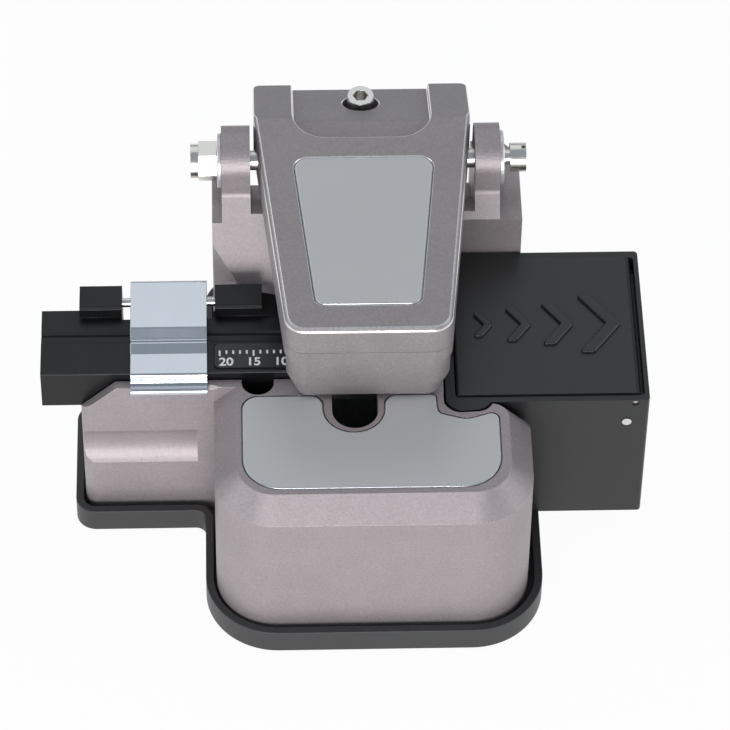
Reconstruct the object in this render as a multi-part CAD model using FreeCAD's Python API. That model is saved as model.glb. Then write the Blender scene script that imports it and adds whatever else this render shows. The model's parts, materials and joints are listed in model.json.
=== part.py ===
import FreeCAD, Part
import math
import os

V = FreeCAD.Vector

# A fibre cleaver that stands on four rubber feet.
# Millimetres. X to the right, Y to the rear, Z up. The sizes below count from the front
# edge of the tray and from the middle of the lever. The pieces are then moved so that
# the origin lies on the table, under the middle of the whole outline.

# Clearances
seat_gap = 0.2
run_gap = 0.05
skin_gap = 0.3

# A length that passes right through the part, for the shapes that cut it
far = 60.0

# Heights and depths of the lever, which the hinge and the tower follow
lever_top = 47.9
cover_height = 5.1
arm_height = 2.4
seam_z = lever_top - cover_height
lever_under = seam_z - arm_height
hinge_drop = 4.0
hinge_z = lever_top - hinge_drop
lever_rear = 76.1
lever_wide_y = lever_rear - 12.1
bend_y = lever_rear - 11.6

# Base tray and feet
foot_lift = 0.8
foot_radius = 4.0
foot_recess = 1.2
tray_left = -24.4
tray_right = 25.9
tray_rear = 70.9
tray_corner = 10.8
tray_floor = 2.2
tray_rim = 1.2
tray_wing_left = -44.0
tray_wing_front = 23.5
tray_rim_top = 5.05
tray_bottom = foot_lift
tray_floor_top = tray_bottom + tray_floor
foot_places = [(-17, 10), (18.5, 10), (-17, 63), (18.5, 63)]
screw_places = [(-16.5, 20), (17, 18), (-16.5, 54), (15.5, 54.5)]
tray_screw_radius = 1.45
tray_screw_length = 9.0
tray_screw_head = 2.6
tray_screw_sink = 0.2

# Machined housing
body_left = -22.8
body_right = 23.7
body_front = 2.0
body_corner = 8.8
body_chamfer = 3.3
body_top = 31.1
body_rear = 69.0
body_bottom = tray_floor_top
wing_left = -42.5
wing_front = 25.75
wing_rear = 43.4
wing_cut = 5.3
groove_low = 14.1
groove_high = 21.4
groove_depth = 1.5
relief_x = -23.8
relief_y = 22.0
relief_radius = 4.3
eye_hole = (-16.3, 26.6)
eye_radius = 2.4
eye_depth = 6.0

# Label plate of the housing, with its notch for the blade slot
plate_left = -18.66
plate_right = 18.95
plate_front = 6.35
plate_rear = 23.9
plate_depth = 0.5
plate_proud = 0.05
plate_edge = 0.12
notch_half = 4.55
notch_front = 16.85
notch_x = -2.25

# Hollow under the housing, where the blade carriage runs
bay_left = -11.0
bay_right = 7.0
bay_front = 11.0
bay_rear = 66.0
bay_top = 26.4

# Blade line and fibre line
blade_x = -2.0
fibre_y = 35.15
fibre_z = 32.4
slot_centre_x = -2.1
slot_width = 6.75
slot_front = 17.6
slot_rear = 51.0

# Fibre rail
rail_left = -48.25
rail_right = -5.75
rail_front = 27.4
rail_rear = 40.0
rail_top = 32.6
rail_bottom = 25.5
rail_step_y = 33.3
groove_half = 0.45
lug_rear = 43.3
lug_front = 38.5
lug_top = 34.5
lug_left = (-42.6, -36.3)
lug_right = (-22.5, -15.5)
rail_screw_places = [(-38, 35.0), (-18, 35.0)]
rail_screw_drop = 5.4

# Ruler, lower pads and the fibre rest on the blade's right
ruler_left = -22.6
ruler_right = -6.2
ruler_front = 28.1
ruler_rear = 32.7
ruler_sink = 0.1
low_pad_left = (-11.4, -6.6, 33.5, 39.4)
low_pad_right = (2.5, 7.3, 32.2, 39.4)
low_pad_depth = 1.6
rest_left = 1.9
rest_right = 9.8
rest_bottom = 28.6

# Clamp lid on the rail
lid_left = -35.0
lid_right = -23.7
lid_pin_y = 41.0
lid_pin_z = 32.9
lid_pin_radius = 0.7
lid_rear = 43.6
lid_magnet_x = -29.3
lid_magnet_y = 30.2
lid_magnet_radius = 1.6
rail_magnet_radius = 2.0

# Offcut box
box_left = 11.3
box_right = 41.3
box_front = 22.2
box_rear = 51.6
box_bottom = 5.3
box_top = 31.1
box_wall = 1.6
box_lid_top = 31.4
box_lid_left = 12.9
box_lid_front = 23.4
box_lid_rear = 50.2
box_pin_x = 39.2
box_pin_z = 30.3
box_pin_radius = 0.5
chevron_height = 0.45
box_room_top = 42.0
box_screw_ys = (28.0, 46.0)
box_screw_z = 15.0
box_screw_radius = 1.15
tongue_depth = 2.2
latch_x = 38.1
latch_z = 26.3
latch_radius = 0.7

# Rear tower and hinge
tower_foot = 45.7
cheek_left = -17.0
cheek_right = 16.6
boss_left = -21.3
boss_right = 20.35
boss_radius = 5.0
hinge_y = 59.4
corner_cut = 4.0
shelf_top = hinge_z - 5.6
wedge_top = hinge_z - 4.6
cheek_bend_z = hinge_z - 2.4
deck_top = 28.1
wedge_rear = 55.5
shaft_radius = 1.5
bush_radius = 2.6
flange_radius = 4.1
flange_width = 0.6
nut_across = 6.2
nut_width = 2.7

# Lever
lever_x = -0.15
head_half = 12.0
head_front = 21.9
head_rear = 46.5
head_corner = 3.2
lever_half = 16.3
head_bottom = 31.8
head_bevel_top = 36.1
head_bevel = 1.6
rear_drop = 5.0
scoop_depth = 1.1
scoop_half = 10.35
scoop_front = 60.2
scoop_corner = 5.0
rear_top_z = lever_top - rear_drop
lever_plate_front = 26.9
lever_plate_rear = 56.0
lever_plate_front_half = 7.6
lever_plate_rear_half = 10.5
cover_screw_places = [(-9.2, 50.8), (8.9, 50.8)]
magnet_x = 7.6
magnet_y = 25.5
magnet_radius = 1.4
magnet_sink = 3.0
stop_y = lever_rear - 5.1
stop_radius = 2.05
stop_top = lever_top - 2.3
stop_bottom = 34.6
stop_hole_radius = 2.75
clamp_ceiling = lever_under + 0.6
spring_half = 6.0

# Blade drive
wheel_radius = 8.0
wheel_thickness = 1.2
wheel_rest_y = 42.15
wheel_z = fibre_z - 0.05 - wheel_radius
carriage_half = 9.5
carriage_bottom = 8.0
carriage_top = 20.0
rod_radius = 1.5
rod_z = 12.0
rod_left = -7.5
rod_right = 3.5
rod_reach = 4.0
screw_radius = 1.45
pin_z = 23.9
arm_left = -9.6
arm_right = -7.4
pin_radius = 1.2
slide_travel = 14.0
fork_slack = 0.85
fork_left = -7.1
fork_right = -4.6
fork_wall = 1.4
fork_half = pin_radius + fork_slack
fork_front_open = hinge_y - slide_travel - fork_half - fork_wall


def outline(corners, z=0.0, inset=0.0):
    """Closed wire through (x, y, radius, moves) corners, drawn inward by inset.

    moves is 1 where the side that leaves the corner is drawn inward, 0 where it stays."""
    full = [tuple(c) + (0.0, 1.0)[len(c) - 2:] for c in corners]
    count = len(full)
    area = sum(full[i][0] * full[(i + 1) % count][1] - full[(i + 1) % count][0] * full[i][1]
               for i in range(count))
    if area < 0:
        full = [full[-i - 1][:3] + (full[-i - 2][3] if i < count - 1 else full[-1][3],)
                for i in range(count)]
    sides = []
    for i in range(count):
        a, b = full[i], full[(i + 1) % count]
        length = math.hypot(b[0] - a[0], b[1] - a[1])
        ux, uy = (b[0] - a[0]) / length, (b[1] - a[1]) / length
        shift = inset * full[i][3]
        sides.append((a[0] - uy * shift, a[1] + ux * shift, ux, uy))
    points = []
    for i in range(count):
        x1, y1, ux1, uy1 = sides[i - 1]
        x2, y2, ux2, uy2 = sides[i]
        cross = ux1 * uy2 - uy1 * ux2
        t = ((x2 - x1) * uy2 - (y2 - y1) * ux2) / cross
        turn = 1 if cross > 0 else -1
        drawn = inset * min(full[i - 1][3], full[i][3])
        radius = max(full[i][2] - turn * drawn, 0.05) if full[i][2] > 0 else 0.0
        points.append((x1 + ux1 * t, y1 + uy1 * t, radius, (ux1, uy1), (ux2, uy2), cross))
    starts, ends, arcs = [], [], []
    for x, y, radius, one, two, cross in points:
        if radius == 0.0:
            starts.append(V(x, y, z))
            ends.append(V(x, y, z))
            arcs.append(None)
            continue
        angle = math.acos(max(-1.0, min(1.0, one[0] * two[0] + one[1] * two[1])))
        back = radius * math.tan(angle / 2)
        side = 1 if cross > 0 else -1
        first = V(x - one[0] * back, y - one[1] * back, z)
        last = V(x + two[0] * back, y + two[1] * back, z)
        centre = first + V(-one[1] * side * radius, one[0] * side * radius, 0)
        toward = (V(x, y, z) - centre).normalize()
        starts.append(first)
        ends.append(last)
        arcs.append(Part.Arc(first, centre + toward * radius, last).toShape())
    edges = []
    for i in range(count):
        if arcs[i]:
            edges.append(arcs[i])
        following = starts[(i + 1) % count]
        if ends[i].distanceToPoint(following) > 1e-6:
            edges.append(Part.LineSegment(ends[i], following).toShape())
    return Part.Wire(edges)


def prism(corners, low, high):
    return Part.Face(outline(corners, low)).extrude(V(0, 0, high - low))


def chamfered(corners, low, high, leg, rise=None):
    """A prism whose top edge is drawn inward by leg over the last rise millimetres."""
    rise = leg if rise is None else rise
    cap = Part.makeLoft([outline(corners, high - rise), outline(corners, high, leg)], True, True)
    return prism(corners, low, high - rise).fuse(cap).removeSplitter()


def along_x(corners, low, high):
    """A prism of (y, z) corners that runs along X from low to high."""
    turn = FreeCAD.Matrix(0, 0, 1, 0, 1, 0, 0, 0, 0, 1, 0, 0, 0, 0, 0, 1)
    return prism(corners, low, high).transformed(turn)


def along_y(corners, low, high):
    """A prism of (x, z) corners that runs along Y from low to high."""
    turn = FreeCAD.Matrix(0, 1, 0, 0, 0, 0, 1, 0, 1, 0, 0, 0, 0, 0, 0, 1)
    swapped = [(c[1], c[0]) + tuple(c[2:]) for c in corners]
    return prism(swapped, low, high).transformed(turn)


def box(x0, x1, y0, y1, z0, z1):
    return Part.makeBox(x1 - x0, y1 - y0, z1 - z0, V(x0, y0, z0))


def rounded_box(x0, x1, y0, y1, z0, z1, radius):
    return prism([(x0, y0, radius), (x1, y0, radius), (x1, y1, radius), (x0, y1, radius)], z0, z1)


def rod(point, axis, radius, length):
    return Part.makeCylinder(radius, length, V(*point), V(*axis))


def hexagon(centre, across, axis, length):
    """A hexagonal bar, across its corners, whose axis is X or Z."""
    ring = [(across / 2 * math.cos(math.radians(60 * i)), across / 2 * math.sin(math.radians(60 * i)))
            for i in range(6)]
    if axis == "x":
        return along_x([(centre[1] + a, centre[2] + b) for a, b in ring], centre[0],
                       centre[0] + length)
    return prism([(centre[0] + a, centre[1] + b) for a, b in ring], centre[2], centre[2] + length)


def join(*shapes):
    return shapes[0].fuse(list(shapes[1:])).removeSplitter()


def group(shapes):
    return Part.makeCompound(shapes)


nodes = {}


def tray_plan(inset):
    """Plan of the base tray, drawn inward by inset."""
    return outline([(tray_left, 0, tray_corner), (tray_right, 0, tray_corner),
                    (tray_right, tray_rear, 6), (tray_left, tray_rear, 6),
                    (tray_left, wing_rear + tray_rim + seat_gap, 1.5),
                    (tray_wing_left, wing_rear + tray_rim + seat_gap, 3),
                    (tray_wing_left, tray_wing_front, 3), (tray_left, tray_wing_front, 1.5)],
                   tray_bottom, inset)


def make_base():
    """Tray with an upright rim, its four feet and the four screws that hold the housing."""
    rim = Part.Face(tray_plan(0)).extrude(V(0, 0, tray_rim_top - tray_bottom))
    well = Part.Face(tray_plan(tray_rim)).extrude(V(0, 0, tray_rim_top))
    well.translate(V(0, 0, tray_floor))
    tray = rim.cut(well)
    feet, screws, cuts = [], [], []
    for x, y in foot_places:
        feet.append(rod((x, y, 0), (0, 0, 1), foot_radius, foot_lift + foot_recess))
        cuts.append(rod((x, y, 0), (0, 0, 1), foot_radius + run_gap, foot_lift + foot_recess))
    for x, y in screw_places:
        seat = tray_bottom + tray_screw_sink
        head = rod((x, y, seat), (0, 0, 1), tray_screw_head, 1.2)
        shank = rod((x, y, seat), (0, 0, 1), tray_screw_radius, tray_screw_length)
        socket = hexagon((x, y, tray_bottom), 2.3, "z", 0.9)
        screws.append(join(head, shank).cut(socket))
        cuts.append(rod((x, y, 0), (0, 0, 1), tray_screw_head + skin_gap, tray_bottom + 1.4))
        cuts.append(rod((x, y, 0), (0, 0, 1), tray_screw_radius + 0.15, tray_floor_top + 1))
    nodes["base_tray"] = tray.cut(cuts)
    nodes["rubber_feet"] = group(feet)
    nodes["base_screws"] = group(screws)


def bulge_plan():
    """Plan of the housing in front of the tower: only the outer sides are chamfered."""
    return [(body_left, body_front, body_corner, 1), (body_right, body_front, body_corner, 1),
            (body_right, box_front - skin_gap, 2.5, 0), (box_left - skin_gap, box_front - skin_gap, 0, 0),
            (box_left - skin_gap, tower_foot + 2, 0, 0), (body_left, tower_foot + 2, 0, 1)]


def plate_plan(grow=0.0):
    """Plan of the housing's label plate, with its notch for the blade slot."""
    left, right = plate_left - grow, plate_right + grow
    return [(left, plate_front - grow, 5.65), (right, plate_front - grow, 5.65),
            (right, 20.6 + grow, 1.2), (14.2 + grow, 19.0 + grow, 3.5),
            (10.0 + grow, 20.3 + grow, 1.2), (9.8 + grow, plate_rear + grow, 0.6),
            (notch_x + notch_half - grow, plate_rear + grow, 1.8),
            (notch_x + notch_half - grow, notch_front + grow, notch_half - grow - 0.05),
            (notch_x - notch_half + grow, notch_front + grow, notch_half - grow - 0.05),
            (notch_x - notch_half + grow, plate_rear + grow, 1.8),
            (left, plate_rear + grow, 2.5)]


def tongue_plan(grow=0.0):
    """Plan of the rounded tongue by which the offcut box reaches into the housing's top."""
    return [(box_left - grow, box_front + 2, 0), (box_left - grow, 20.5 - grow, 2.6),
            (17.3 + grow, 20.9 - grow, 2.6), (18.6 + grow, box_front + 2, 0)]


def wing_shape():
    """The wing on the left that carries the fibre rail, with its groove and cut corner."""
    corners = [(wing_left, body_bottom), (body_left + 8, body_bottom), (body_left + 8, body_top),
               (wing_left + wing_cut, body_top), (wing_left, body_top - wing_cut)]
    wing = along_y(corners, wing_front, wing_rear)
    half = (groove_high - groove_low) / 2
    radius = (half * half + groove_depth * groove_depth) / (2 * groove_depth)
    groove = rod((wing_left - 1, wing_front + groove_depth - radius, (groove_low + groove_high) / 2),
                 (1, 0, 0), radius, body_left - wing_left - 1.6)
    plan = [(wing_left, wing_front, 2), (body_left + 8, wing_front), (body_left + 8, wing_rear),
            (wing_left, wing_rear, 2)]
    return wing.cut(groove).common(prism(plan, body_bottom, body_top))


def cheek_profile():
    """Side view of the tower: a sloping front, a round hinge boss and a steep back."""
    return [(tower_foot, body_bottom), (tower_foot, body_top), (54.6, cheek_bend_z, 1.5),
            (55.2, hinge_z + boss_radius, 4.2), (hinge_y + boss_radius, hinge_z + boss_radius, 4.9),
            (hinge_y + boss_radius + 0.6, shelf_top, 1.5), (body_rear, shelf_top, 1.5),
            (body_rear, body_bottom)]


def tower_shape():
    """Two cheeks with hinge bosses, the shelves beside them and the low wall behind."""
    plan = [(body_left, tower_foot + corner_cut, 1), (body_left + corner_cut, tower_foot, 1),
            (body_right - corner_cut, tower_foot, 1), (body_right, tower_foot + corner_cut, 1),
            (body_right, body_rear, 6), (body_left, body_rear, 6)]
    tower = along_x(cheek_profile(), body_left, body_right)
    tower = tower.common(prism(plan, body_bottom, hinge_z + 10))
    tower = tower.cut(box(body_left - 1, boss_left, 40, body_rear + 1, shelf_top, hinge_z + 10))
    tower = tower.cut(box(boss_right, body_right + 1, 40, body_rear + 1, shelf_top, hinge_z + 10))
    tower = tower.cut(box(cheek_left, cheek_right, wedge_rear, body_rear + 1, deck_top, far))
    tower = tower.cut(box(cheek_left, cheek_right, 40, body_rear + 1, wedge_top, far))
    room = box(box_left - skin_gap, body_right + 1, 40, box_rear + skin_gap, 0, box_room_top)
    return tower.cut(room)


def make_housing():
    bulge = chamfered(bulge_plan(), body_bottom, body_top, body_chamfer)
    housing = join(bulge, wing_shape(), tower_shape())
    cuts = [Part.makeCone(0, relief_radius + 0.01, relief_radius + 0.01,
                          V(relief_x, relief_y, body_top - relief_radius), V(0, 0, 1))]
    cuts.append(rounded_box(bay_left, bay_right, bay_front, bay_rear, 0, bay_top, 2))
    cuts.append(rounded_box(slot_centre_x - slot_width / 2, slot_centre_x + slot_width / 2,
                            slot_front, slot_rear, 20, 40, slot_width / 2 - 0.01))
    cuts.append(box(arm_left - 1.2, blade_x - 2.4, fork_front_open - 0.5, 63.4, 20, 40))
    cuts.append(box(wing_left - 5, rail_right + 0.25, rail_front - 0.25, wing_rear + 0.1,
                    rail_bottom - 0.02, far))
    cuts.append(box(rest_left - 0.1, rest_right + 0.1, rail_front, rail_rear + 0.2,
                    rest_bottom, far))
    cuts.append(prism(tongue_plan(0.35), body_top - tongue_depth - 0.3, far))
    cuts.append(prism(plate_plan(0.15), body_top - plate_depth, far))
    cuts.append(rod((*eye_hole, body_top - eye_depth), (0, 0, 1), eye_radius, 2 * eye_depth))
    cuts.append(rod((magnet_x, magnet_y, body_top - magnet_sink), (0, 0, 1), magnet_radius, 5))
    for x, y in screw_places:
        cuts.append(rod((x, y, 0), (0, 0, 1), tray_screw_radius,
                        tray_bottom + tray_screw_length + 2 * tray_screw_sink))
    for x in (rod_left, rod_right):
        cuts.append(rod((x, bay_front - rod_reach, rod_z), (0, 1, 0), rod_radius,
                        bay_rear - bay_front + rod_reach + 2))
    for x, y in rail_screw_places:
        cuts.append(rod((x, y, 10), (0, 0, 1), 1.25, 30))
        cuts.append(rod((x, y, 0), (0, 0, 1), 2.4, rail_bottom - 3.6))
    for y in box_screw_ys:
        cuts.append(rod((bay_right - 1, y, box_screw_z), (1, 0, 0), box_screw_radius + run_gap, 6))
    cuts.append(rod((body_left - 1, hinge_y, hinge_z), (1, 0, 0), bush_radius, far))
    nodes["housing"] = housing.cut(cuts)
    nodes["housing_label_plate"] = chamfered(plate_plan(), body_top - plate_depth,
                                             body_top + plate_proud, plate_edge)


def make_rail():
    """Black fibre rail with its groove, the lugs for the clamp lid, ruler, screws and rests."""
    bar = along_x([(rail_front, rail_bottom), (rail_front, rail_top - 0.25),
                   (rail_front + 0.25, rail_top), (rail_step_y, rail_top),
                   (rail_step_y + 0.2, rail_top - 0.2), (fibre_y - groove_half, rail_top - 0.2),
                   (fibre_y, rail_top - 0.2 - groove_half), (fibre_y + groove_half, rail_top - 0.2),
                   (rail_rear, rail_top - 0.2), (rail_rear, rail_bottom)], rail_left, rail_right)
    parts = [bar]
    for low, high in (lug_left, lug_right):
        lug = along_x([(lug_front, rail_bottom), (lug_front, lug_top - 0.4),
                       (lug_front + 0.4, lug_top), (lug_rear - 0.4, lug_top),
                       (lug_rear, lug_top - 0.4), (lug_rear, rail_bottom)], low, high)
        parts.append(lug)
    parts.append(along_y([(lug_right[1] - 0.1, rail_bottom), (lug_right[1] - 0.1, rail_top + 0.6),
                          (lug_right[1] + 2.1, rail_top), (lug_right[1] + 2.1, rail_bottom)],
                         lug_front, lug_rear - 0.8))
    rail = join(*parts)
    cuts = [box(lug_left[1], lug_right[0], lid_pin_y - 2.9, lug_rear + 1, lid_pin_z - 2.8, far)]
    cuts.append(box(ruler_left - 0.1, ruler_right + 0.1, ruler_front - 0.1, ruler_rear + 0.1,
                    rail_top - ruler_sink, far))
    cuts.append(rod((lug_left[1] - 3, lid_pin_y, lid_pin_z), (1, 0, 0), lid_pin_radius + run_gap, 20))
    for x, y in rail_screw_places:
        cuts.append(rod((x, y, rail_bottom - 1), (0, 0, 1), 1.2, 5))
    cuts.append(rod((lid_magnet_x, lid_magnet_y, rail_top - magnet_sink), (0, 0, 1),
                    rail_magnet_radius, 5))
    cuts.append(box(*low_pad_left, rail_top - low_pad_depth, far))
    nodes["fibre_rail"] = rail.cut(cuts)
    nodes["rail_magnet"] = rod((lid_magnet_x, lid_magnet_y, rail_top - magnet_sink), (0, 0, 1),
                               rail_magnet_radius, magnet_sink - 0.2)
    nodes["ruler_plate"] = rounded_box(ruler_left, ruler_right, ruler_front, ruler_rear,
                                       rail_top - ruler_sink, rail_top + 0.2, 0.8)
    screws = []
    for x, y in rail_screw_places:
        shank = rod((x, y, rail_bottom - rail_screw_drop), (0, 0, 1), 1.15, 9)
        head = rod((x, y, rail_bottom - rail_screw_drop), (0, 0, 1), 2.2, 1.8)
        socket = hexagon((x, y, rail_bottom - 5.5), 2.0, "z", 1.1)
        screws.append(join(shank, head).cut(socket))
    nodes["rail_screws"] = group(screws)
    rest = box(rest_left, rest_right, rail_front + 0.1, rail_rear, rest_bottom, rail_top - 0.2)
    nodes["fibre_rest"] = rest.cut(box(*low_pad_right, rail_top - low_pad_depth, far))
    nodes["lower_pad_left"] = box(*low_pad_left, rail_top - low_pad_depth, fibre_z)
    nodes["lower_pad_right"] = box(*low_pad_right, rail_top - low_pad_depth, fibre_z)


def make_clamp_lid():
    """Plated lid that presses the fibre into the rail, with its pad and magnet."""
    under = rail_top + 0.15
    section = [(26.2, 31.75, 0.3), (26.2, 33.45, 0.5), (30.4, 33.45, 0.4), (31.7, 34.4, 0.5),
               (32.6, 34.0, 0.4), (33.9, 35.3, 0.5), (lid_rear, 35.3, 1.2),
               (lid_rear + 0.2, 33.9, 0.8), (lid_rear - 0.2, 31.5, 0.6),
               (lid_pin_y - 2.2, 31.5, 0.6), (lid_pin_y - 2.2, under + 0.9),
               (33.4, under + 0.9), (33.4, under), (27.15, under), (27.15, 31.3, 0.2),
               (25.5, 31.3, 0.1), (25.5, 30.5, 0.3), (24.7, 30.5, 0.35), (24.7, 31.5, 0.6)]
    shell = along_x(section, lid_left, lid_right)
    shell = shell.cut(rod((lid_left - 5, lid_pin_y, lid_pin_z), (1, 0, 0), lid_pin_radius, 30))
    shell = shell.cut(rod((lid_magnet_x, lid_magnet_y, under - 1), (0, 0, 1), lid_magnet_radius, 1.4))
    nodes["clamp_lid"] = shell
    nodes["lid_magnet"] = rod((lid_magnet_x, lid_magnet_y, under), (0, 0, 1), lid_magnet_radius, 0.4)
    nodes["lid_pad"] = box(lid_left + 1.4, lid_right - 1.4, 33.6, 37.4, rail_top + 0.02 - 0.15,
                           under + 0.9)
    pin_left = lug_left[1] - 2.5
    pin_length = lug_right[0] + 2.5 - pin_left
    nodes["lid_hinge_pin"] = rod((pin_left, lid_pin_y, lid_pin_z), (1, 0, 0), lid_pin_radius,
                                 pin_length)


def make_offcut_box():
    """Black box on the right that takes the offcuts, with its lid."""
    outer = prism([(box_left, box_front, 0.5), (box_right, box_front, 0.6),
                   (box_right, box_rear, 0.6), (box_left, box_rear, 0.5)], box_bottom, box_top)
    tongue = prism(tongue_plan(), box_top - tongue_depth, box_top)
    shell = join(outer, tongue)
    inside = rounded_box(box_left + box_wall, box_right - box_wall, box_front + box_wall,
                         box_rear - box_wall, box_bottom + box_wall, 29.0, 1)
    mouth = rounded_box(box_lid_left + 0.9, box_right - box_wall - 0.4, box_lid_front + 0.9,
                        box_lid_rear - 0.9, box_top - 6, far, 0.5)
    seat = rounded_box(box_lid_left - 0.2, box_pin_x + 1.4, box_lid_front - 0.2,
                       box_lid_rear + 0.2, box_lid_top - 2.2, far, 0.6)
    shell = shell.cut([inside, mouth, seat])
    pin_front = box_front + 0.3
    pin_length = box_rear - 0.6 - pin_front
    shell = shell.cut(rod((box_pin_x, box_front - 1, box_pin_z), (0, 1, 0), box_pin_radius, far))
    shell = shell.cut(rod((latch_x, box_front - 1, latch_z), (0, 1, 0), latch_radius, 2.2))
    for y in box_screw_ys:
        shell = shell.cut(rod((box_left - 1, y, box_screw_z), (1, 0, 0),
                              box_screw_radius + run_gap, 5))
    nodes["offcut_box"] = shell
    end_radius = 0.86
    section = [(box_lid_left, box_lid_top - 2.0, 0.2), (box_lid_left, box_lid_top, 0.4),
               (box_pin_x + end_radius, box_lid_top, end_radius - 0.02),
               (box_pin_x + end_radius, box_pin_z - end_radius, end_radius - 0.02),
               (box_pin_x - 2, box_pin_z - end_radius, 0), (box_pin_x - 2.8, box_lid_top - 2.0, 0)]
    lid = along_y(section, box_lid_front, box_lid_rear)
    lid = lid.cut(rod((box_pin_x, box_front - 1, box_pin_z), (0, 1, 0), box_pin_radius + run_gap, far))
    for centre_x, half, arm in ((17.4, 2.3, 1.4), (22.9, 3.2, 1.7), (28.9, 4.0, 2.0), (35.6, 5.6, 2.3)):
        lid = lid.fuse(chevron(centre_x, 36.8, half, arm))
    nodes["offcut_box_lid"] = lid.removeSplitter()
    nodes["box_lid_pin"] = rod((box_pin_x, pin_front, box_pin_z), (0, 1, 0), box_pin_radius,
                               pin_length)
    nodes["box_latch_pin"] = rod((latch_x, box_front - 0.15, latch_z), (0, 1, 0), latch_radius, 1.35)
    screws = []
    for y in box_screw_ys:
        head = rod((box_left + box_wall, y, box_screw_z), (1, 0, 0), 2.2, 1.3)
        shank = rod((bay_right + 0.6, y, box_screw_z), (1, 0, 0), box_screw_radius,
                    box_left + box_wall - bay_right)
        screws.append(join(head, shank))
    nodes["box_screws"] = group(screws)


def chevron(tip_x, middle_y, half, arm):
    """A raised arrow head that points to the right."""
    top = box_lid_top + chevron_height
    reach = half * 0.75
    points = [(tip_x - reach, middle_y + half, 0.3), (tip_x - reach + arm, middle_y + half, 0.45),
              (tip_x + arm, middle_y, 0.5), (tip_x - reach + arm, middle_y - half, 0.45),
              (tip_x - reach, middle_y - half, 0.3), (tip_x, middle_y, 0.3)]
    return chamfered(points, box_lid_top - 0.3, top, 0.15)


def lever_plan(grow=0.0):
    half_front, half_rear = head_half + grow, lever_half + grow
    return [(lever_x - half_front, head_front - grow, head_corner),
            (lever_x + half_front, head_front - grow, head_corner),
            (lever_x + half_rear, lever_wide_y, 6), (lever_x + half_rear, lever_rear, 1.2),
            (lever_x - half_rear, lever_rear, 1.2), (lever_x - half_rear, lever_wide_y, 6)]


def lever_side(top_shift, low_front, low_rear):
    """Side view between the lever's top, moved down by top_shift, and a lower line."""
    return [(head_front - 1, low_front), (head_front - 1, lever_top - top_shift),
            (bend_y, lever_top - top_shift, 3), (lever_rear + 1, rear_top_z - 0.53 - top_shift),
            (lever_rear + 1, low_rear - 0.2), (bend_y + 1.5, low_front, 3)]


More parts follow.
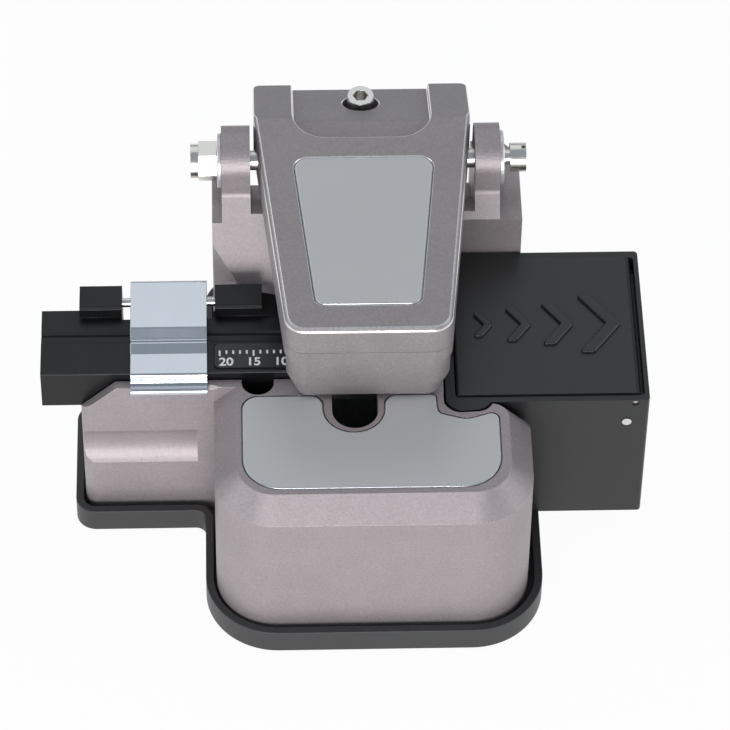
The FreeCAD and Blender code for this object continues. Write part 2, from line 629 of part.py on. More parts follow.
def make_lever():
    """Lever in two castings that meet at a seam, with its label plate and stop screw."""
    plan = lever_plan()
    edge = Part.makeLoft([outline(plan, lever_top - 0.5), outline(plan, lever_top, 0.5)], True, True)
    body_part = prism(plan, seam_z - 8, lever_top - 0.5)
    upper = join(body_part, edge)
    cover = upper.common(along_x(lever_side(0.0, seam_z, rear_top_z - 2.9), -far, far))
    wedge = along_x([(bend_y - 4, lever_top), (bend_y, lever_top, 3),
                     (lever_rear + 1, rear_top_z - 0.53), (lever_rear + 1, lever_top + 2),
                     (bend_y - 4, lever_top + 2)], -far, far)
    cover = cover.cut(wedge)
    scoop_plan = [(lever_x - scoop_half, scoop_front, scoop_corner),
                  (lever_x + scoop_half, scoop_front, scoop_corner),
                  (lever_x + scoop_half, lever_rear + 2), (lever_x - scoop_half, lever_rear + 2)]
    scoop = prism(scoop_plan, 0, far).cut(
        along_x(lever_side(scoop_depth, 20, 20), -far, far))
    cover = cover.cut(scoop)
    hollow = prism([(lever_x - head_half + 2.5, head_front + 2.5, 2),
                    (lever_x + head_half - 2.5, head_front + 2.5, 2),
                    (lever_x + lever_half - 4.5, 55, 1), (lever_x - lever_half + 4.5, 55, 1)],
                   seam_z - 1, lever_top - 2.2)
    cover = cover.cut(hollow)
    cover = cover.cut(prism(lever_plate_plan(0.12), lever_top - 0.35, far))
    bore = rod((-far, hinge_y, hinge_z), (1, 0, 0), shaft_radius + run_gap, 2 * far)
    spring_room = box(lever_x - spring_half - 0.3, lever_x + spring_half + 0.3,
                      hinge_y - 2.6, hinge_y + 2.6, 30, hinge_z + 2.5)
    stop_hole = rod((lever_x, stop_y, 0), (0, 0, 1), stop_hole_radius, far)
    cover = cover.cut([bore, spring_room, stop_hole])
    nodes["lever_cover"] = cover.cut([rod((x, y, seam_z - 1), (0, 0, 1), 1.2, 3.2)
                                      for x, y in cover_screw_places])

    arm_low = [(head_front - 1, lever_under), (head_front - 1, seam_z), (bend_y + 1.5, seam_z, 3),
               (lever_rear + 1, rear_top_z - 3.1), (lever_rear + 1, rear_top_z - 4.6),
               (bend_y + 1.2, lever_under, 3)]
    arm = prism(plan, 30, 50).common(along_x(arm_low, -far, far))
    head_plan = [(lever_x - head_half, head_front, head_corner),
                 (lever_x + head_half, head_front, head_corner),
                 (lever_x + head_half, head_rear, 1.5), (lever_x - head_half, head_rear, 1.5)]
    head = prism(head_plan, head_bevel_top, seam_z)
    foot = Part.makeLoft([outline(head_plan, head_bevel_top), outline(head_plan, head_bottom, head_bevel)],
                         True, True)
    head = join(head, foot).common(join(prism(plan, 30, 50), box(-30, 30, 25, 50, 30, 50)))
    arm = join(arm, head)
    cavity = rounded_box(lever_x - head_half + 2.4, lever_x + head_half - 2.4, 29.4,
                         head_rear - 2.4, 20, clamp_ceiling, 1)
    passage = box(-30, lever_x + head_half - 1.6, rail_front - 0.4, head_rear - 2.3, 20, rail_top + 0.8)
    blade_way = box(blade_x - 1.6, blade_x + 1.6, rail_front, head_rear + 1, 20, rail_top + 0.8)
    arm = arm.cut([cavity, passage, blade_way, bore, spring_room])
    arm = arm.cut(rod((lever_x, stop_y, 0), (0, 0, 1), stop_radius - run_gap, far))
    arm = arm.cut(rod((magnet_x, magnet_y, head_bottom - 1), (0, 0, 1), magnet_radius, 4))
    for x, y in cover_screw_places:
        arm = arm.cut(rod((x, y, lever_under - 1), (0, 0, 1), 1.2, 5))
        arm = arm.cut(rod((x, y, lever_under - 10), (0, 0, 1), 2.3, 10.8))
    nodes["lever_arm"] = arm
    nodes["lever_label_plate"] = chamfered(lever_plate_plan(), lever_top - 0.35,
                                           lever_top + plate_proud, plate_edge)
    screw = rod((lever_x, stop_y, stop_bottom + 0.6), (0, 0, 1), stop_radius - run_gap,
                stop_top - stop_bottom - 0.6)
    tip = Part.makeCone(0.9, stop_radius - run_gap, 0.6, V(lever_x, stop_y, stop_bottom), V(0, 0, 1))
    nodes["stop_screw"] = join(screw, tip).cut(hexagon((lever_x, stop_y, stop_top - 2), 2.31, "z", 3))
    screws = []
    for x, y in cover_screw_places:
        head_part = rod((x, y, lever_under - 0.8), (0, 0, 1), 2.0, 1.6)
        shank = rod((x, y, lever_under), (0, 0, 1), 1.15, 4.4)
        socket = hexagon((x, y, lever_under - 0.9), 1.7, "z", 0.9)
        screws.append(join(head_part, shank).cut(socket))
    nodes["cover_screws"] = group(screws)
    nodes["lever_magnet"] = rod((magnet_x, magnet_y, head_bottom + 0.02), (0, 0, 1), magnet_radius, 2.9)
    nodes["housing_magnet"] = rod((magnet_x, magnet_y, body_top - magnet_sink), (0, 0, 1),
                                  magnet_radius, magnet_sink - run_gap)


def lever_plate_plan(grow=0.0):
    """Plan of the bare label plate, wider toward the hinge."""
    near, far = lever_plate_front_half + grow, lever_plate_rear_half + grow
    front, rear = lever_plate_front - grow, lever_plate_rear + grow
    return [(lever_x - near, front, 1.6), (lever_x + near, front, 1.6), (lever_x + far, rear, 2.2),
            (lever_x - far, rear, 2.2)]


def make_clamps():
    """Sprung clamps and anvil in the lever's head that hold the fibre down at each side."""
    blocks = {"left": (-9.3, -5.0), "right": (1.6, 8.6)}
    pads = {"left": (-9.1, -5.6), "right": (2.4, 7.2)}
    for side in ("left", "right"):
        x0, x1 = blocks[side]
        low = rail_top + 1.3
        centre = (x0 + x1) / 2
        nodes["upper_clamp_" + side] = rounded_box(x0, x1, 31.2, 39.6, low, low + 3.6, 0.5)
        nodes["upper_pad_" + side] = box(*pads[side], 33.7, 39.2, fibre_z + 0.05, low)
        nodes["clamp_spring_" + side] = tube((centre, fibre_y, low + 3.6), 1.7, 1.1,
                                             clamp_ceiling - low - 3.6)
    nodes["anvil"] = box(blade_x - 1.3, blade_x + 1.3, 33.4, 36.9, fibre_z + 0.15, 38.2)
    nodes["anvil_spring"] = tube((blade_x, fibre_y, 38.2), 1.2, 0.7, clamp_ceiling - 38.2)


def tube(base, outer, inner, length, axis=(0, 0, 1)):
    return rod(base, axis, outer, length).cut(rod(base, axis, inner, length))


def make_hinge():
    """Hinge shaft with its slotted head, bushes, washer, lock nut and torsion spring."""
    left_end, right_end = boss_left - 0.7, boss_right + 0.7
    bore = rod((-far, hinge_y, hinge_z), (1, 0, 0), shaft_radius, 2 * far)
    shaft = rod((left_end - 3.7, hinge_y, hinge_z), (1, 0, 0), shaft_radius, right_end - left_end + 3.9)
    neck = rod((right_end, hinge_y, hinge_z), (1, 0, 0), 1.1, 1.2)
    head = rod((right_end + 0.9, hinge_y, hinge_z), (1, 0, 0), 2.2, 2.4)
    slot = box(right_end + 2.6, right_end + 5, hinge_y - 0.3, hinge_y + 0.3, hinge_z - 3, hinge_z + 3)
    nodes["hinge_shaft"] = join(shaft, neck, head).cut(slot)
    for side, start, flange in (("left", boss_left, boss_left - flange_width),
                                ("right", cheek_right, boss_right)):
        length = cheek_left - boss_left if side == "left" else boss_right - cheek_right
        bush = join(rod((start, hinge_y, hinge_z), (1, 0, 0), bush_radius, length),
                    rod((flange, hinge_y, hinge_z), (1, 0, 0), flange_radius, flange_width))
        nodes["hinge_bush_" + side] = bush.cut(bore)
    nut = hexagon((left_end - nut_width, hinge_y, hinge_z), nut_across, "x", nut_width)
    collar = rod((left_end - nut_width - 1.2, hinge_y, hinge_z), (1, 0, 0), 2.6, 1.3)
    nodes["lock_nut"] = join(nut, collar).cut(bore)
    nodes["torsion_spring"] = tube((lever_x - spring_half, hinge_y, hinge_z), 2.35, 1.6,
                                   spring_half * 2, (1, 0, 0))


def make_drive():
    """Blade carriage on two rods, and the arm by which the lever moves it."""
    y = wheel_rest_y
    front, rear = y - carriage_half, y + carriage_half
    block = box(bay_left + 0.6, bay_right - 0.6, front, rear, carriage_bottom, carriage_top)
    mount = box(blade_x - 3.5, blade_x - wheel_thickness / 2 - 0.1, y - 3.4, y + 3.4,
                carriage_top - 1, wheel_z + 1.9)
    room = box(blade_x - wheel_thickness / 2 - 0.1, blade_x + wheel_thickness / 2 + 2.6,
               y - wheel_radius - 0.5, y + wheel_radius + 0.5, wheel_z - wheel_radius - 0.5, far)
    tail = join(box(fork_left, fork_right, rear - 1, hinge_y + fork_half + fork_wall, 14, 19),
                box(fork_left, fork_right, hinge_y - fork_half - fork_wall, hinge_y - fork_half, 18, 31.2),
                box(fork_left, fork_right, hinge_y + fork_half, hinge_y + fork_half + fork_wall, 18, 31.2))
    block = join(block, mount, tail).cut(room)
    bush_cuts, bushes, rods = [], [], []
    for x in (rod_left, rod_right):
        bush_cuts.append(rod((x, front - 1, rod_z), (0, 1, 0), 2.3, rear - front + 2))
        bushes.append(tube((x, front, rod_z), 2.3, rod_radius + run_gap, rear - front, (0, 1, 0)))
        rods.append(rod((x, bay_front - rod_reach, rod_z), (0, 1, 0), rod_radius,
                        bay_rear - bay_front + rod_reach + 1.5))
    block = block.cut(bush_cuts)
    block = block.cut(rod((blade_x - 6, y, wheel_z), (1, 0, 0), screw_radius, 8))
    nodes["carriage"] = block
    nodes["carriage_bushes"] = group(bushes)
    nodes["guide_rods"] = group(rods)
    wheel_left = blade_x - wheel_thickness / 2
    wheel = join(rod((wheel_left, y, wheel_z), (1, 0, 0), wheel_radius - 0.5, wheel_thickness),
                 Part.makeCone(wheel_radius - 0.5, wheel_radius, wheel_thickness / 2 - 0.05,
                               V(wheel_left, y, wheel_z), V(1, 0, 0)),
                 Part.makeCone(wheel_radius, wheel_radius - 0.5, wheel_thickness / 2 + 0.05,
                               V(blade_x - 0.05, y, wheel_z), V(1, 0, 0)))
    nodes["blade_wheel"] = wheel.cut(rod((-far, y, wheel_z), (1, 0, 0), 1.5, 2 * far))
    nodes["blade_screw"] = join(
        rod((blade_x - 3.4, y, wheel_z), (1, 0, 0), screw_radius, 4.1),
        rod((blade_x + wheel_thickness / 2 + run_gap, y, wheel_z), (1, 0, 0), 2.0, 1.1))
    nodes["carriage_bumper"] = box(blade_x - 4, blade_x + 4, rear + 0.05, rear + 2.0, 8.5, 13.5)
    plate = along_x([(hinge_y - 2.5, lever_under), (hinge_y - 2.0, pin_z, 1.9),
                     (hinge_y - 2.0, pin_z - 1.9, 1.9),
                     (hinge_y + 2.0, pin_z - 1.9, 1.9),
                     (hinge_y + 2.5, lever_under)], arm_left, arm_right)
    pin = rod((arm_left, hinge_y, pin_z), (1, 0, 0), pin_radius, fork_right - arm_left)
    nodes["reset_arm"] = join(plate, pin)


make_base()
make_housing()
make_rail()
make_clamp_lid()
make_offcut_box()
make_lever()
make_clamps()
make_hinge()
make_drive()

os.makedirs("parts", exist_ok=True)
to_centre = V(-(rail_left + box_right) / 2, -lever_rear / 2, 0)
for name, shape in nodes.items():
    shape.translate(to_centre)
    shape.exportStep("parts/" + name + ".step")
    print(name, len(shape.Solids), round(shape.Volume, 1), shape.isValid())
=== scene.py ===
import json
import math

import bmesh
import bpy
from mathutils import Matrix, Vector


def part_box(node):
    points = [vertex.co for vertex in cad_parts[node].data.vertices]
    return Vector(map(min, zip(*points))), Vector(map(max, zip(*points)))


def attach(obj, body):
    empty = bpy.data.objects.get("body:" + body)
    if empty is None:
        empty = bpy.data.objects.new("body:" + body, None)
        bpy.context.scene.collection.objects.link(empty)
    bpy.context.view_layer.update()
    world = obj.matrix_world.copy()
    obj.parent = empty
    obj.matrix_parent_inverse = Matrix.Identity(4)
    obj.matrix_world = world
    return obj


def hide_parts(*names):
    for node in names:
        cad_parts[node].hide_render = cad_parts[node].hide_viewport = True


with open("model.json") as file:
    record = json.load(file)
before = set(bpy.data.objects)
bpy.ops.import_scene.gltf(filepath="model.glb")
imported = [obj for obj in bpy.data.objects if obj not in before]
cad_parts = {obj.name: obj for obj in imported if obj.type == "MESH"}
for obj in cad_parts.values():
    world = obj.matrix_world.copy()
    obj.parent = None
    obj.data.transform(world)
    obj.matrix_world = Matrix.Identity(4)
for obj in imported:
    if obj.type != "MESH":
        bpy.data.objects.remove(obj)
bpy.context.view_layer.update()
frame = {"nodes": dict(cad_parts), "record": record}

MM = 0.001

# Camera, as the photograph was taken: angles in degrees, place in millimetres.
CAMERA_TURN = 2.23
CAMERA_TILT = 49.4
CAMERA_ROLL = -0.92
CAMERA_PLACE = (-13.475, -432.81, 526.68)
CAMERA_LENS = 217.87

# Ruler on the fibre rail, in millimetres from the plate's front left corner.
RULER_LONGEST = 20
RULER_SHORTEST = 5
RULER_FIRST_TICK = 0.75
TICK_TOP = 3.3
TICK_SHORT = 0.65
TICK_LONG = 1.05
TICK_WIDE = 0.28
NUMBER_MIDDLE = 15
NUMBER_SPREAD = 0.81
NUMBER_BASE = 0.42
NUMBER_SIZE = 2.1
NUMBER_STRETCH = 1.02
MARK_HIGH = 0.02

# Edges of the dressed pieces, in degrees: sharper ones are broken, and flatter ones look smooth.
BROKEN_ANGLE = 34
CREASE_ANGLE = 32
SPRING_CREASE = 50

# Hidden springs: node, radius of the wire in millimetres and number of turns
SPRINGS = [
    ("anvil_spring", 0.2, 4),
    ("clamp_spring_left", 0.25, 5),
    ("clamp_spring_right", 0.25, 5),
    ("torsion_spring", 0.3, 17),
]

# Stage: the floor glows of itself for the camera and for mirrored rays, from 0 to 1.
FLOOR_GLOW = 0.95
FLOOR_REACH = 3.0
ROOM_COLOR = (0.57, 0.635, 0.69, 1)
ROOM_LIGHT = 0.62
LAMP_TARGET = (0.0, 0.0, 0.03)

# Lamp, place in metres, side in metres and power in watts
LAMPS = [
    ("front_softbox", (-0.15, -0.9, 0.22), 0.5, 7.5),
    ("rear_softbox", (0.0, 0.55, 0.6), 0.7, 0.9),
    ("left_softbox", (-0.75, -0.1, 0.4), 0.5, 1.6),
    ("right_softbox", (0.75, -0.1, 0.4), 0.5, 1.6),
]


class Signal:
    """One socket of a material, on which sums are written as they would be on a number."""

    def __init__(self, finish, socket):
        self.finish = finish
        self.socket = socket

    def maths(self, operation, *others):
        return self.finish.node("ShaderNodeMath", {"operation": operation}, self, *others)

    def __add__(self, other):
        return self.maths("ADD", other)

    def __mul__(self, other):
        return self.maths("MULTIPLY", other)

    def larger(self, other):
        return self.maths("MAXIMUM", other)


class Finish:
    """A procedural material: a Principled shader and the nodes that feed it."""

    def __init__(self, name, color, roughness, metallic=0.0, **constants):
        self.material = bpy.data.materials.new(name)
        self.material.use_nodes = True
        self.tree = self.material.node_tree
        self.shader = self.tree.nodes["Principled BSDF"]
        self.set("Base Color", color)
        self.set("Roughness", roughness)
        self.set("Metallic", metallic)
        for key, value in constants.items():
            self.set(key.replace("_", " "), value)

    def set(self, name, value):
        socket = self.shader.inputs[name]
        if isinstance(value, Signal):
            self.tree.links.new(value.socket, socket)
        elif isinstance(value, tuple):
            socket.default_value = value + (1.0,)
        else:
            socket.default_value = value

    def node(self, kind, settings=None, *values, output=0, slots=None, **named):
        """Adds a node: its settings, then the values or links of its sockets.

        The sockets are taken in order, by their number in slots, or by name."""
        made = self.tree.nodes.new(kind)
        for key, value in (settings or {}).items():
            setattr(made, key, value)
        pairs = [(made.inputs[i], v) for i, v in enumerate(values)]
        pairs += [(made.inputs[i], v) for i, v in (slots or {}).items()]
        pairs += [(made.inputs[k.replace("_", " ")], v) for k, v in named.items()]
        for socket, value in pairs:
            if isinstance(value, Signal):
                self.tree.links.new(value.socket, socket)
            elif isinstance(value, tuple) and len(value) == 3 and socket.type == "RGBA":
                socket.default_value = value + (1.0,)
            else:
                socket.default_value = value
        return Signal(self, made.outputs[output])

    def place(self):
        return self.node("ShaderNodeTexCoord", output=3)

    def grain(self, size, detail=2.0, rough=0.55, stretch=(1, 1, 1)):
        """Noise whose blotches are about size millimetres across."""
        at = self.node("ShaderNodeMapping", None, self.place(), Scale=stretch)
        return self.node("ShaderNodeTexNoise", None, Vector=at, Scale=1.0 / (size * MM), Detail=detail,
                         Roughness=rough)

    def blend(self, low, high, amount):
        """Mixes two colours, whose sockets are the node's sixth and seventh."""
        return self.node("ShaderNodeMix", {"data_type": "RGBA"}, output=2,
                         slots={0: amount, 6: low, 7: high})

    def bump(self, height, depth, strength=1.0):
        """Relief of depth millimetres from a height signal between 0 and 1."""
        made = self.node("ShaderNodeBump", None, Strength=strength, Distance=depth * MM, Height=height)
        self.set("Normal", made)


def shade(color, factor):
    return tuple(min(1.0, c * factor) for c in color)


def blasted(name, color, roughness, depth=0.035, contrast=0.6, metallic=0.6):
    """Fine blasted and anodised metal: a tight sparkle over a faint cloud."""
    finish = Finish(name, color, roughness, metallic)
    fine = finish.grain(0.22, 3.0, 0.75)
    cloud = finish.grain(6.0, 2.0)
    speck = finish.grain(0.45, 2.0, 0.7)
    amount = fine * 0.55 + speck * 0.3 + cloud * 0.15
    finish.set("Base Color", finish.blend(shade(color, 1 - contrast), shade(color, 1 + contrast), amount))
    finish.set("Roughness", fine * 0.16 + cloud * 0.06 + (roughness - 0.11))
    finish.bump(fine * 0.7 + speck * 0.3, depth)
    return finish.material


def cut_edge(name, color, roughness=0.3):
    """Bright edge that a cutter left in the anodised metal."""
    finish = Finish(name, color, roughness, 1.0)
    streak = finish.grain(0.3, 2.0, 0.6)
    finish.set("Roughness", streak * 0.2 + (roughness - 0.1))
    finish.set("Base Color", finish.blend(shade(color, 0.9), shade(color, 1.08), streak))
    return finish.material


def label_paint(name, color):
    """Satin printed plate with a faint metallic speckle."""
    finish = Finish(name, color, 0.42, 0.25, Coat_Weight=0.12, Coat_Roughness=0.3)
    speck = finish.grain(0.2, 2.0, 0.65)
    cloud = finish.grain(9.0, 1.0)
    finish.set("Base Color", finish.blend(shade(color, 0.93), shade(color, 1.07), speck * 0.7 + cloud * 0.3))
    finish.set("Roughness", speck * 0.12 + 0.36)
    finish.bump(speck, 0.004)
    return finish.material


def black_metal(name, color, roughness, lines):
    """Black anodised metal with the faint feed lines of a mill along one axis."""
    finish = Finish(name, color, roughness, 0.35)
    fine = finish.grain(0.14, 3.0, 0.7)
    feed = finish.grain(0.22, 1.0, 0.5, lines)
    worn = finish.grain(2.6, 4.0, 0.6)
    finish.set("Base Color", finish.blend(shade(color, 0.75), shade(color, 1.5), fine * 0.5 + worn * 0.5))
    finish.set("Roughness", feed * 0.18 + fine * 0.1 + (roughness - 0.14))
    finish.bump(fine * 0.6 + feed * 0.4, 0.008)
    return finish.material


def moulded(name, color, roughness, grain_size, depth):
    """Moulded plastic with the fine grain of a spark-eroded tool."""
    finish = Finish(name, color, roughness, 0.0, Specular_IOR_Level=0.5)
    skin = finish.grain(grain_size, 3.0, 0.65)
    cloud = finish.grain(7.0, 2.0)
    finish.set("Base Color", finish.blend(shade(color, 0.82), shade(color, 1.22), skin * 0.6 + cloud * 0.4))
    finish.set("Roughness", skin * 0.14 + cloud * 0.08 + (roughness - 0.11))
    finish.bump(skin, depth)
    return finish.material


def plated(name, color, roughness):
    """Polished plating with the slightest orange peel."""
    finish = Finish(name, color, roughness, 1.0)
    peel = finish.grain(1.8, 2.0)
    smear = finish.grain(4.0, 3.0, 0.6, (1, 0.4, 1))
    finish.set("Roughness", smear * 0.1 + (roughness - 0.03))
    finish.set("Base Color", finish.blend(shade(color, 0.95), shade(color, 1.03), smear))
    finish.bump(peel, 0.01, 0.5)
    return finish.material


def turned(name, color, roughness, across):
    """Bright turned or drawn metal whose tool lines run round its axis."""
    finish = Finish(name, color, roughness, 1.0)
    lines = finish.grain(0.12, 2.0, 0.6, across)
    stain = finish.grain(1.1, 3.0, 0.6)
    finish.set("Base Color", finish.blend(shade(color, 0.88), shade(color, 1.05), lines * 0.5 + stain * 0.5))
    finish.set("Roughness", lines * 0.1 + stain * 0.08 + (roughness - 0.09))
    finish.bump(lines, 0.003)
    return finish.material


def rubber(name, color):
    finish = Finish(name, color, 0.75)
    skin = finish.grain(0.3, 3.0, 0.6)
    dust = finish.grain(2.4, 4.0, 0.65)
    finish.set("Base Color", finish.blend(shade(color, 0.8), shade(color, 1.7), dust))
    finish.set("Roughness", skin * 0.15 + 0.66)
    finish.bump(skin, 0.02)
    return finish.material


def ink(name, color):
    """Printed marks that are a little thin in places."""
    finish = Finish(name, color, 0.5)
    thin = finish.grain(0.25, 2.0)
    finish.set("Base Color", finish.blend(shade(color, 0.86), color, thin))
    return finish.material


BODY_COLOR = (0.34, 0.298, 0.306)
LEVER_COLOR = (0.31, 0.283, 0.286)
PLATE_COLOR = (0.47, 0.472, 0.476)

MATERIALS = {
    "body": blasted("anodised_body", BODY_COLOR, 0.5),
    "lever": blasted("anodised_lever", LEVER_COLOR, 0.52),
    "edge": cut_edge("bright_cut_edge", (0.86, 0.82, 0.81)),
    "label": label_paint("satin_label", PLATE_COLOR),
    "label_edge": cut_edge("label_rim", (0.75, 0.78, 0.8), 0.3),
    "rail": black_metal("black_anodised_rail", (0.006, 0.006, 0.007), 0.36, (0.06, 1, 1)),
    "box": moulded("box_plastic", (0.0085, 0.0087, 0.0095), 0.4, 0.22, 0.02),
    "box_lid": moulded("box_lid_plastic", (0.0095, 0.0098, 0.0105), 0.36, 0.2, 0.012),
    "tray": moulded("tray_plastic", (0.026, 0.026, 0.027), 0.46, 0.24, 0.02),
    "plate": plated("polished_plating", (0.6, 0.63, 0.68), 0.15),
    "steel_x": turned("steel_across", (0.72, 0.7, 0.66), 0.24, (1, 0.1, 0.1)),
    "steel_z": turned("steel_upright", (0.68, 0.66, 0.64), 0.26, (0.1, 0.1, 1)),
    "steel_y": turned("steel_lengthwise", (0.7, 0.7, 0.7), 0.2, (0.1, 1, 0.1)),
    "blade": turned("ground_blade", (0.74, 0.75, 0.78), 0.16, (1, 1, 0.2)),
    "alloy": blasted("plain_alloy", (0.62, 0.62, 0.63), 0.34, 0.006),
    "brass": turned("brass_bush", (0.78, 0.58, 0.28), 0.25, (0.1, 1, 0.1)),
    "magnet": plated("magnet_plating", (0.72, 0.72, 0.72), 0.16),
    "rubber": rubber("black_rubber", (0.022, 0.022, 0.023)),
    "ruler": moulded("ruler_black", (0.012, 0.012, 0.014), 0.36, 0.2, 0.004),
    "ink": ink("white_ink", (0.86, 0.87, 0.88)),
}

# Node, finish, finish of its broken edges, width of those edges in millimetres, and where they
# differ from the usual the angle that stays sharp and whether short edges hold the bevel back
DRESSED = [
    ("housing", "body", "edge", 0.22),
    ("lever_cover", "lever", "edge", 0.16, CREASE_ANGLE, False),
    ("lever_arm", "lever", "lever", 0.22, 19),
    ("base_tray", "tray", "tray", 0.35),
    ("housing_label_plate", "label", "label_edge", 0.1),
    ("lever_label_plate", "label", "label_edge", 0.1),
    ("fibre_rail", "rail", "rail", 0.14),
    ("fibre_rest", "rail", "rail", 0.12),
    ("clamp_lid", "plate", "plate", 0.2),
    ("offcut_box", "box", "box", 0.2),
    ("offcut_box_lid", "box_lid", "box_lid", 0.12),
    ("lock_nut", "steel_x", "steel_x", 0.15),
    ("hinge_shaft", "steel_x", "steel_x", 0.12),
    ("hinge_bush_left", "alloy", "edge", 0.1),
    ("hinge_bush_right", "alloy", "edge", 0.1),
    ("stop_screw", "steel_z", "steel_z", 0.12),
    ("carriage", "alloy", "alloy", 0.15),
    ("upper_clamp_left", "alloy", "alloy", 0.15),
    ("upper_clamp_right", "alloy", "alloy", 0.15),
]

PAINTED = {
    "rubber_feet": "rubber", "base_screws": "steel_z", "rail_magnet": "magnet",
    "ruler_plate": "ruler", "rail_screws": "steel_z", "lower_pad_left": "rubber",
    "lower_pad_right": "rubber", "box_lid_pin": "steel_y", "box_latch_pin": "steel_y",
    "box_screws": "steel_x", "housing_magnet": "magnet", "guide_rods": "steel_y",
    "cover_screws": "steel_z", "lever_magnet": "magnet", "reset_arm": "steel_x",
    "upper_pad_left": "rubber", "upper_pad_right": "rubber", "anvil": "alloy",
    "lid_magnet": "magnet", "lid_pad": "rubber", "lid_hinge_pin": "steel_x",
    "carriage_bushes": "brass", "carriage_bumper": "rubber", "blade_screw": "steel_x",
    "blade_wheel": "blade",
}

body_of = {node: body for body, nodes in frame["record"]["behaviour"]["bodies"].items()
           for node in nodes}


def add_piece(name, mesh, node=None, body=None):
    """Puts a finished mesh in the scene, on the body of the node that it stands for."""
    piece = bpy.data.objects.new(name, mesh)
    bpy.context.scene.collection.objects.link(piece)
    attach(piece, body or body_of[node])
    if node:
        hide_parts(node)
    return piece


def plain_mesh(piece):
    """The piece's evaluated shape as a mesh of its own; the piece itself goes."""
    graph = bpy.context.evaluated_depsgraph_get()
    mesh = bpy.data.meshes.new_from_object(piece.evaluated_get(graph))
    piece.modifiers.clear()
    bpy.data.objects.remove(piece)
    return mesh


def smooth(mesh, angle=CREASE_ANGLE):
    for face in mesh.polygons:
        face.use_smooth = True
    mesh.set_sharp_from_angle(angle=math.radians(angle))


def dress(node, finish, edge, width, crease=CREASE_ANGLE, kept=True):
    """Stands in for a node with the same shape and its sharp edges broken.

    Edges sharper than crease degrees stay sharp; kept holds the bevel inside short edges."""
    source = frame["nodes"][node]
    work = bmesh.new()
    work.from_mesh(source.data)
    bmesh.ops.remove_doubles(work, verts=work.verts, dist=0.002 * MM)
    bmesh.ops.dissolve_limit(work, angle_limit=math.radians(0.6), verts=work.verts, edges=work.edges)
    mesh = bpy.data.meshes.new(node + "_finished")
    work.to_mesh(mesh)
    work.free()
    mesh.materials.clear()
    mesh.materials.append(MATERIALS[finish])
    mesh.materials.append(MATERIALS[edge])
    for face in mesh.polygons:
        face.material_index = 0
    smooth(mesh, crease)
    bevelled = bpy.data.objects.new(node + "_work", mesh)
    bpy.context.scene.collection.objects.link(bevelled)
    bevel = bevelled.modifiers.new("broken_edges", "BEVEL")
    bevel.width = width * MM
    bevel.segments = 2
    bevel.limit_method = "ANGLE"
    bevel.angle_limit = math.radians(BROKEN_ANGLE)
    bevel.material = 1
    bevel.use_clamp_overlap = kept
    flats = bevelled.modifiers.new("true_flats", "WEIGHTED_NORMAL")
    flats.keep_sharp = True
    return add_piece(node + "_finished", plain_mesh(bevelled), node)


def paint(node, finish):
    part = frame["nodes"][node]
    part.data.materials.clear()
    part.data.materials.append(MATERIALS[finish])


def tree_with(name, inputs):
    """A Geometry Nodes tree with named number inputs. Returns it and its first and last node."""
    tree = bpy.data.node_groups.new(name, "GeometryNodeTree")
    tree.interface.new_socket("Geometry", in_out="OUTPUT", socket_type="NodeSocketGeometry")
    for label, (kind, value) in inputs.items():
        socket = tree.interface.new_socket(label, in_out="INPUT", socket_type=kind)
        socket.default_value = value
    return tree, tree.nodes.new("NodeGroupInput"), tree.nodes.new("NodeGroupOutput")


def grown(name, tree, values):
    """The plain mesh that a Geometry Nodes tree makes from named values."""
    host = bpy.data.objects.new(name + "_work", bpy.data.meshes.new(name))
    bpy.context.scene.collection.objects.link(host)
    modifier = host.modifiers.new(name, "NODES")
    modifier.node_group = tree
    for item in tree.interface.items_tree:
        if item.in_out == "INPUT" and item.name in values:
            modifier[item.identifier] = values[item.name]
    return plain_mesh(host)


def tick_tree(material):
    """A row of upright marks, side by side along X."""
    tree, given, made = tree_with("ruler_ticks", {
        "Count": ("NodeSocketInt", 10), "Step": ("NodeSocketFloat", MM),
        "Width": ("NodeSocketFloat", 0.1 * MM), "Length": ("NodeSocketFloat", MM),
        "Height": ("NodeSocketFloat", 0.02 * MM), "Start": ("NodeSocketVector", (0, 0, 0))})
    links, nodes = tree.links, tree.nodes
    step = nodes.new("ShaderNodeCombineXYZ")
    row = nodes.new("GeometryNodeMeshLine")
    mark = nodes.new("GeometryNodeMeshCube")
    size = nodes.new("ShaderNodeCombineXYZ")
    spread = nodes.new("GeometryNodeInstanceOnPoints")
    real = nodes.new("GeometryNodeRealizeInstances")
    coat = nodes.new("GeometryNodeSetMaterial")
    coat.inputs["Material"].default_value = material
    links.new(given.outputs["Step"], step.inputs["X"])
    links.new(given.outputs["Count"], row.inputs["Count"])
    links.new(given.outputs["Start"], row.inputs["Start Location"])
    links.new(step.outputs[0], row.inputs["Offset"])
    for label, axis in (("Width", "X"), ("Length", "Y"), ("Height", "Z")):
        links.new(given.outputs[label], size.inputs[axis])
    links.new(size.outputs[0], mark.inputs["Size"])
    links.new(row.outputs["Mesh"], spread.inputs["Points"])
    links.new(mark.outputs["Mesh"], spread.inputs["Instance"])
    links.new(spread.outputs[0], real.inputs[0])
    links.new(real.outputs[0], coat.inputs["Geometry"])
    links.new(coat.outputs[0], made.inputs[0])
    return tree


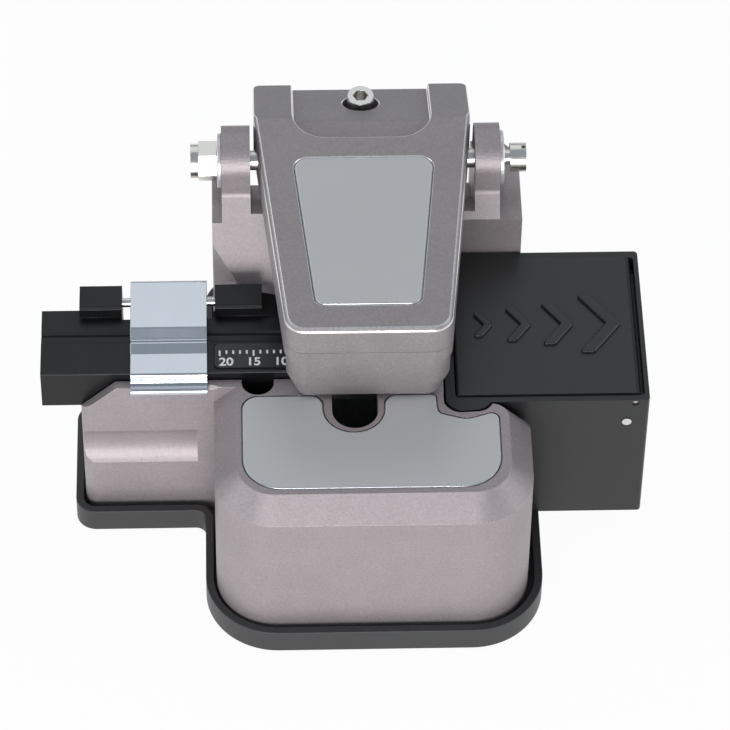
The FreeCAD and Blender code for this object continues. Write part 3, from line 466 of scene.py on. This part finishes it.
def coil_tree(material):
    """A wound spring round the Z axis, from the ground up."""
    tree, given, made = tree_with("wound_spring", {
        "Turns": ("NodeSocketFloat", 6.0), "Radius": ("NodeSocketFloat", MM),
        "Length": ("NodeSocketFloat", MM), "Wire": ("NodeSocketFloat", 0.2 * MM)})
    links, nodes = tree.links, tree.nodes
    spiral = nodes.new("GeometryNodeCurveSpiral")
    spiral.inputs["Resolution"].default_value = 24
    wire = nodes.new("GeometryNodeCurvePrimitiveCircle")
    wire.inputs["Resolution"].default_value = 10
    swept = nodes.new("GeometryNodeCurveToMesh")
    swept.inputs["Fill Caps"].default_value = True
    real = nodes.new("GeometryNodeRealizeInstances")
    coat = nodes.new("GeometryNodeSetMaterial")
    coat.inputs["Material"].default_value = material
    links.new(given.outputs["Turns"], spiral.inputs["Rotations"])
    links.new(given.outputs["Radius"], spiral.inputs["Start Radius"])
    links.new(given.outputs["Radius"], spiral.inputs["End Radius"])
    links.new(given.outputs["Length"], spiral.inputs["Height"])
    links.new(given.outputs["Wire"], wire.inputs["Radius"])
    links.new(spiral.outputs[0], swept.inputs["Curve"])
    links.new(wire.outputs[0], swept.inputs["Profile Curve"])
    links.new(swept.outputs[0], real.inputs[0])
    links.new(real.outputs[0], coat.inputs["Geometry"])
    links.new(coat.outputs[0], made.inputs[0])
    return tree


def wind_springs():
    """Real turns for the hidden springs, each inside the space its node holds."""
    tree = coil_tree(MATERIALS["steel_z"])
    for node, wire, turns in SPRINGS:
        low, high = (Vector(corner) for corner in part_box(node))
        along = 0 if node == "torsion_spring" else 2
        size = high - low
        outer = size[1] / 2
        mesh = grown(node, tree, {"Turns": float(turns), "Radius": outer - wire * MM,
                                  "Length": size[along] - 2.2 * wire * MM, "Wire": wire * MM})
        middle = (low + high) / 2
        middle[along] = low[along] + 1.1 * wire * MM
        turn = Matrix.Rotation(math.radians(90), 4, "Y") if along == 0 else Matrix.Identity(4)
        mesh.transform(Matrix.Translation(middle) @ turn)
        smooth(mesh, SPRING_CREASE)
        add_piece(node + "_wound", mesh, node)


def print_ruler():
    """Ticks every millimetre and a plain number at every fifth one."""
    low, high = (Vector(corner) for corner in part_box("ruler_plate"))
    top = high.z + MARK_HIGH * MM / 2
    tree = tick_tree(MATERIALS["ink"])
    count = RULER_LONGEST - RULER_SHORTEST + 1
    for name, number, step, length, thick in (
            ("ruler_ticks", count, 1, TICK_SHORT, MARK_HIGH),
            ("ruler_long_ticks", (count + 4) // 5, 5, TICK_LONG, 1.5 * MARK_HIGH)):
        start = (low.x + RULER_FIRST_TICK * MM, low.y + (TICK_TOP - length / 2) * MM, top)
        mesh = grown(name, tree, {"Count": number, "Step": step * MM, "Width": TICK_WIDE * MM,
                                  "Length": length * MM, "Height": thick * MM, "Start": start})
        add_piece(name, mesh, body="base")
    for value in range(RULER_SHORTEST, RULER_LONGEST + 1, 5):
        text = bpy.data.curves.new("number", "FONT")
        text.body = str(value)
        text.size = NUMBER_SIZE * MM
        text.align_x = "CENTER"
        text.extrude = MARK_HIGH * MM / 2
        text.offset = 0.05 * MM
        host = bpy.data.objects.new("number_work", text)
        bpy.context.scene.collection.objects.link(host)
        mesh = plain_mesh(host)
        from_tick = (NUMBER_MIDDLE - value) * NUMBER_SPREAD
        across = low.x + (RULER_FIRST_TICK + RULER_LONGEST - NUMBER_MIDDLE + from_tick) * MM
        widened = Matrix.Scale(NUMBER_STRETCH, 4, (1, 0, 0))
        mesh.transform(Matrix.Translation((across, low.y + NUMBER_BASE * MM, top)) @ widened)
        mesh.materials.clear()
        mesh.materials.append(MATERIALS["ink"])
        add_piece("ruler_number_%d" % value, mesh, body="base")


def set_camera():
    turn, tilt, roll = (math.radians(a) for a in (CAMERA_TURN, CAMERA_TILT, CAMERA_ROLL))
    forward = Vector((math.sin(turn) * math.cos(tilt), math.cos(turn) * math.cos(tilt), -math.sin(tilt)))
    right = Vector((math.cos(turn), -math.sin(turn), 0))
    down = forward.cross(right)
    rolled_right = right * math.cos(roll) + down * math.sin(roll)
    rolled_down = down * math.cos(roll) - right * math.sin(roll)
    data = bpy.data.cameras.new("photo_camera")
    data.lens = CAMERA_LENS
    data.clip_start = 0.01
    data.clip_end = 20
    camera = bpy.data.objects.new("photo_camera", data)
    facing = Matrix((rolled_right, -rolled_down, -forward)).transposed().to_4x4()
    camera.matrix_world = Matrix.Translation(Vector(CAMERA_PLACE) * MM) @ facing
    bpy.context.scene.collection.objects.link(camera)
    bpy.context.scene.camera = camera


def add_lamp(name, place, size, power):
    data = bpy.data.lights.new(name, "AREA")
    data.shape = "RECTANGLE"
    data.size = size
    data.size_y = size
    data.energy = power
    lamp = bpy.data.objects.new(name, data)
    facing = (Vector(LAMP_TARGET) - Vector(place)).to_track_quat("-Z", "Y")
    lamp.matrix_world = Matrix.Translation(place) @ facing.to_matrix().to_4x4()
    bpy.context.scene.collection.objects.link(lamp)


def set_stage():
    """Pale floor, plain soft lamps and an even dim room."""
    mesh = bpy.data.meshes.new("floor")
    corners = [(-1, -1), (1, -1), (1, 1), (-1, 1)]
    mesh.from_pydata([(x * FLOOR_REACH, y * FLOOR_REACH, 0) for x, y in corners], [], [(0, 1, 2, 3)])
    floor = bpy.data.objects.new("floor", mesh)
    bpy.context.scene.collection.objects.link(floor)
    finish = Finish("pale_floor", (0.9, 0.9, 0.9), 0.9)
    sees = finish.node("ShaderNodeLightPath", output=0)
    glossy = finish.node("ShaderNodeLightPath", output=3)
    glow = finish.node("ShaderNodeEmission", None, (1.0, 1.0, 1.0), 1.0)
    mixed = finish.node("ShaderNodeMixShader", None, sees.larger(glossy) * FLOOR_GLOW,
                        Signal(finish, finish.shader.outputs[0]), glow)
    finish.tree.links.new(mixed.socket, finish.tree.nodes["Material Output"].inputs["Surface"])
    mesh.materials.append(finish.material)
    world = bpy.data.worlds.new("room")
    world.use_nodes = True
    sky = world.node_tree.nodes["Background"]
    sky.inputs["Color"].default_value = ROOM_COLOR
    sky.inputs["Strength"].default_value = ROOM_LIGHT
    bpy.context.scene.world = world
    for lamp in LAMPS:
        add_lamp(*lamp)


set_camera()
for row in DRESSED:
    dress(*row)
for node, finish in PAINTED.items():
    paint(node, finish)
wind_springs()
print_ruler()
set_stage()
bpy.context.scene.view_settings.view_transform = "Standard"
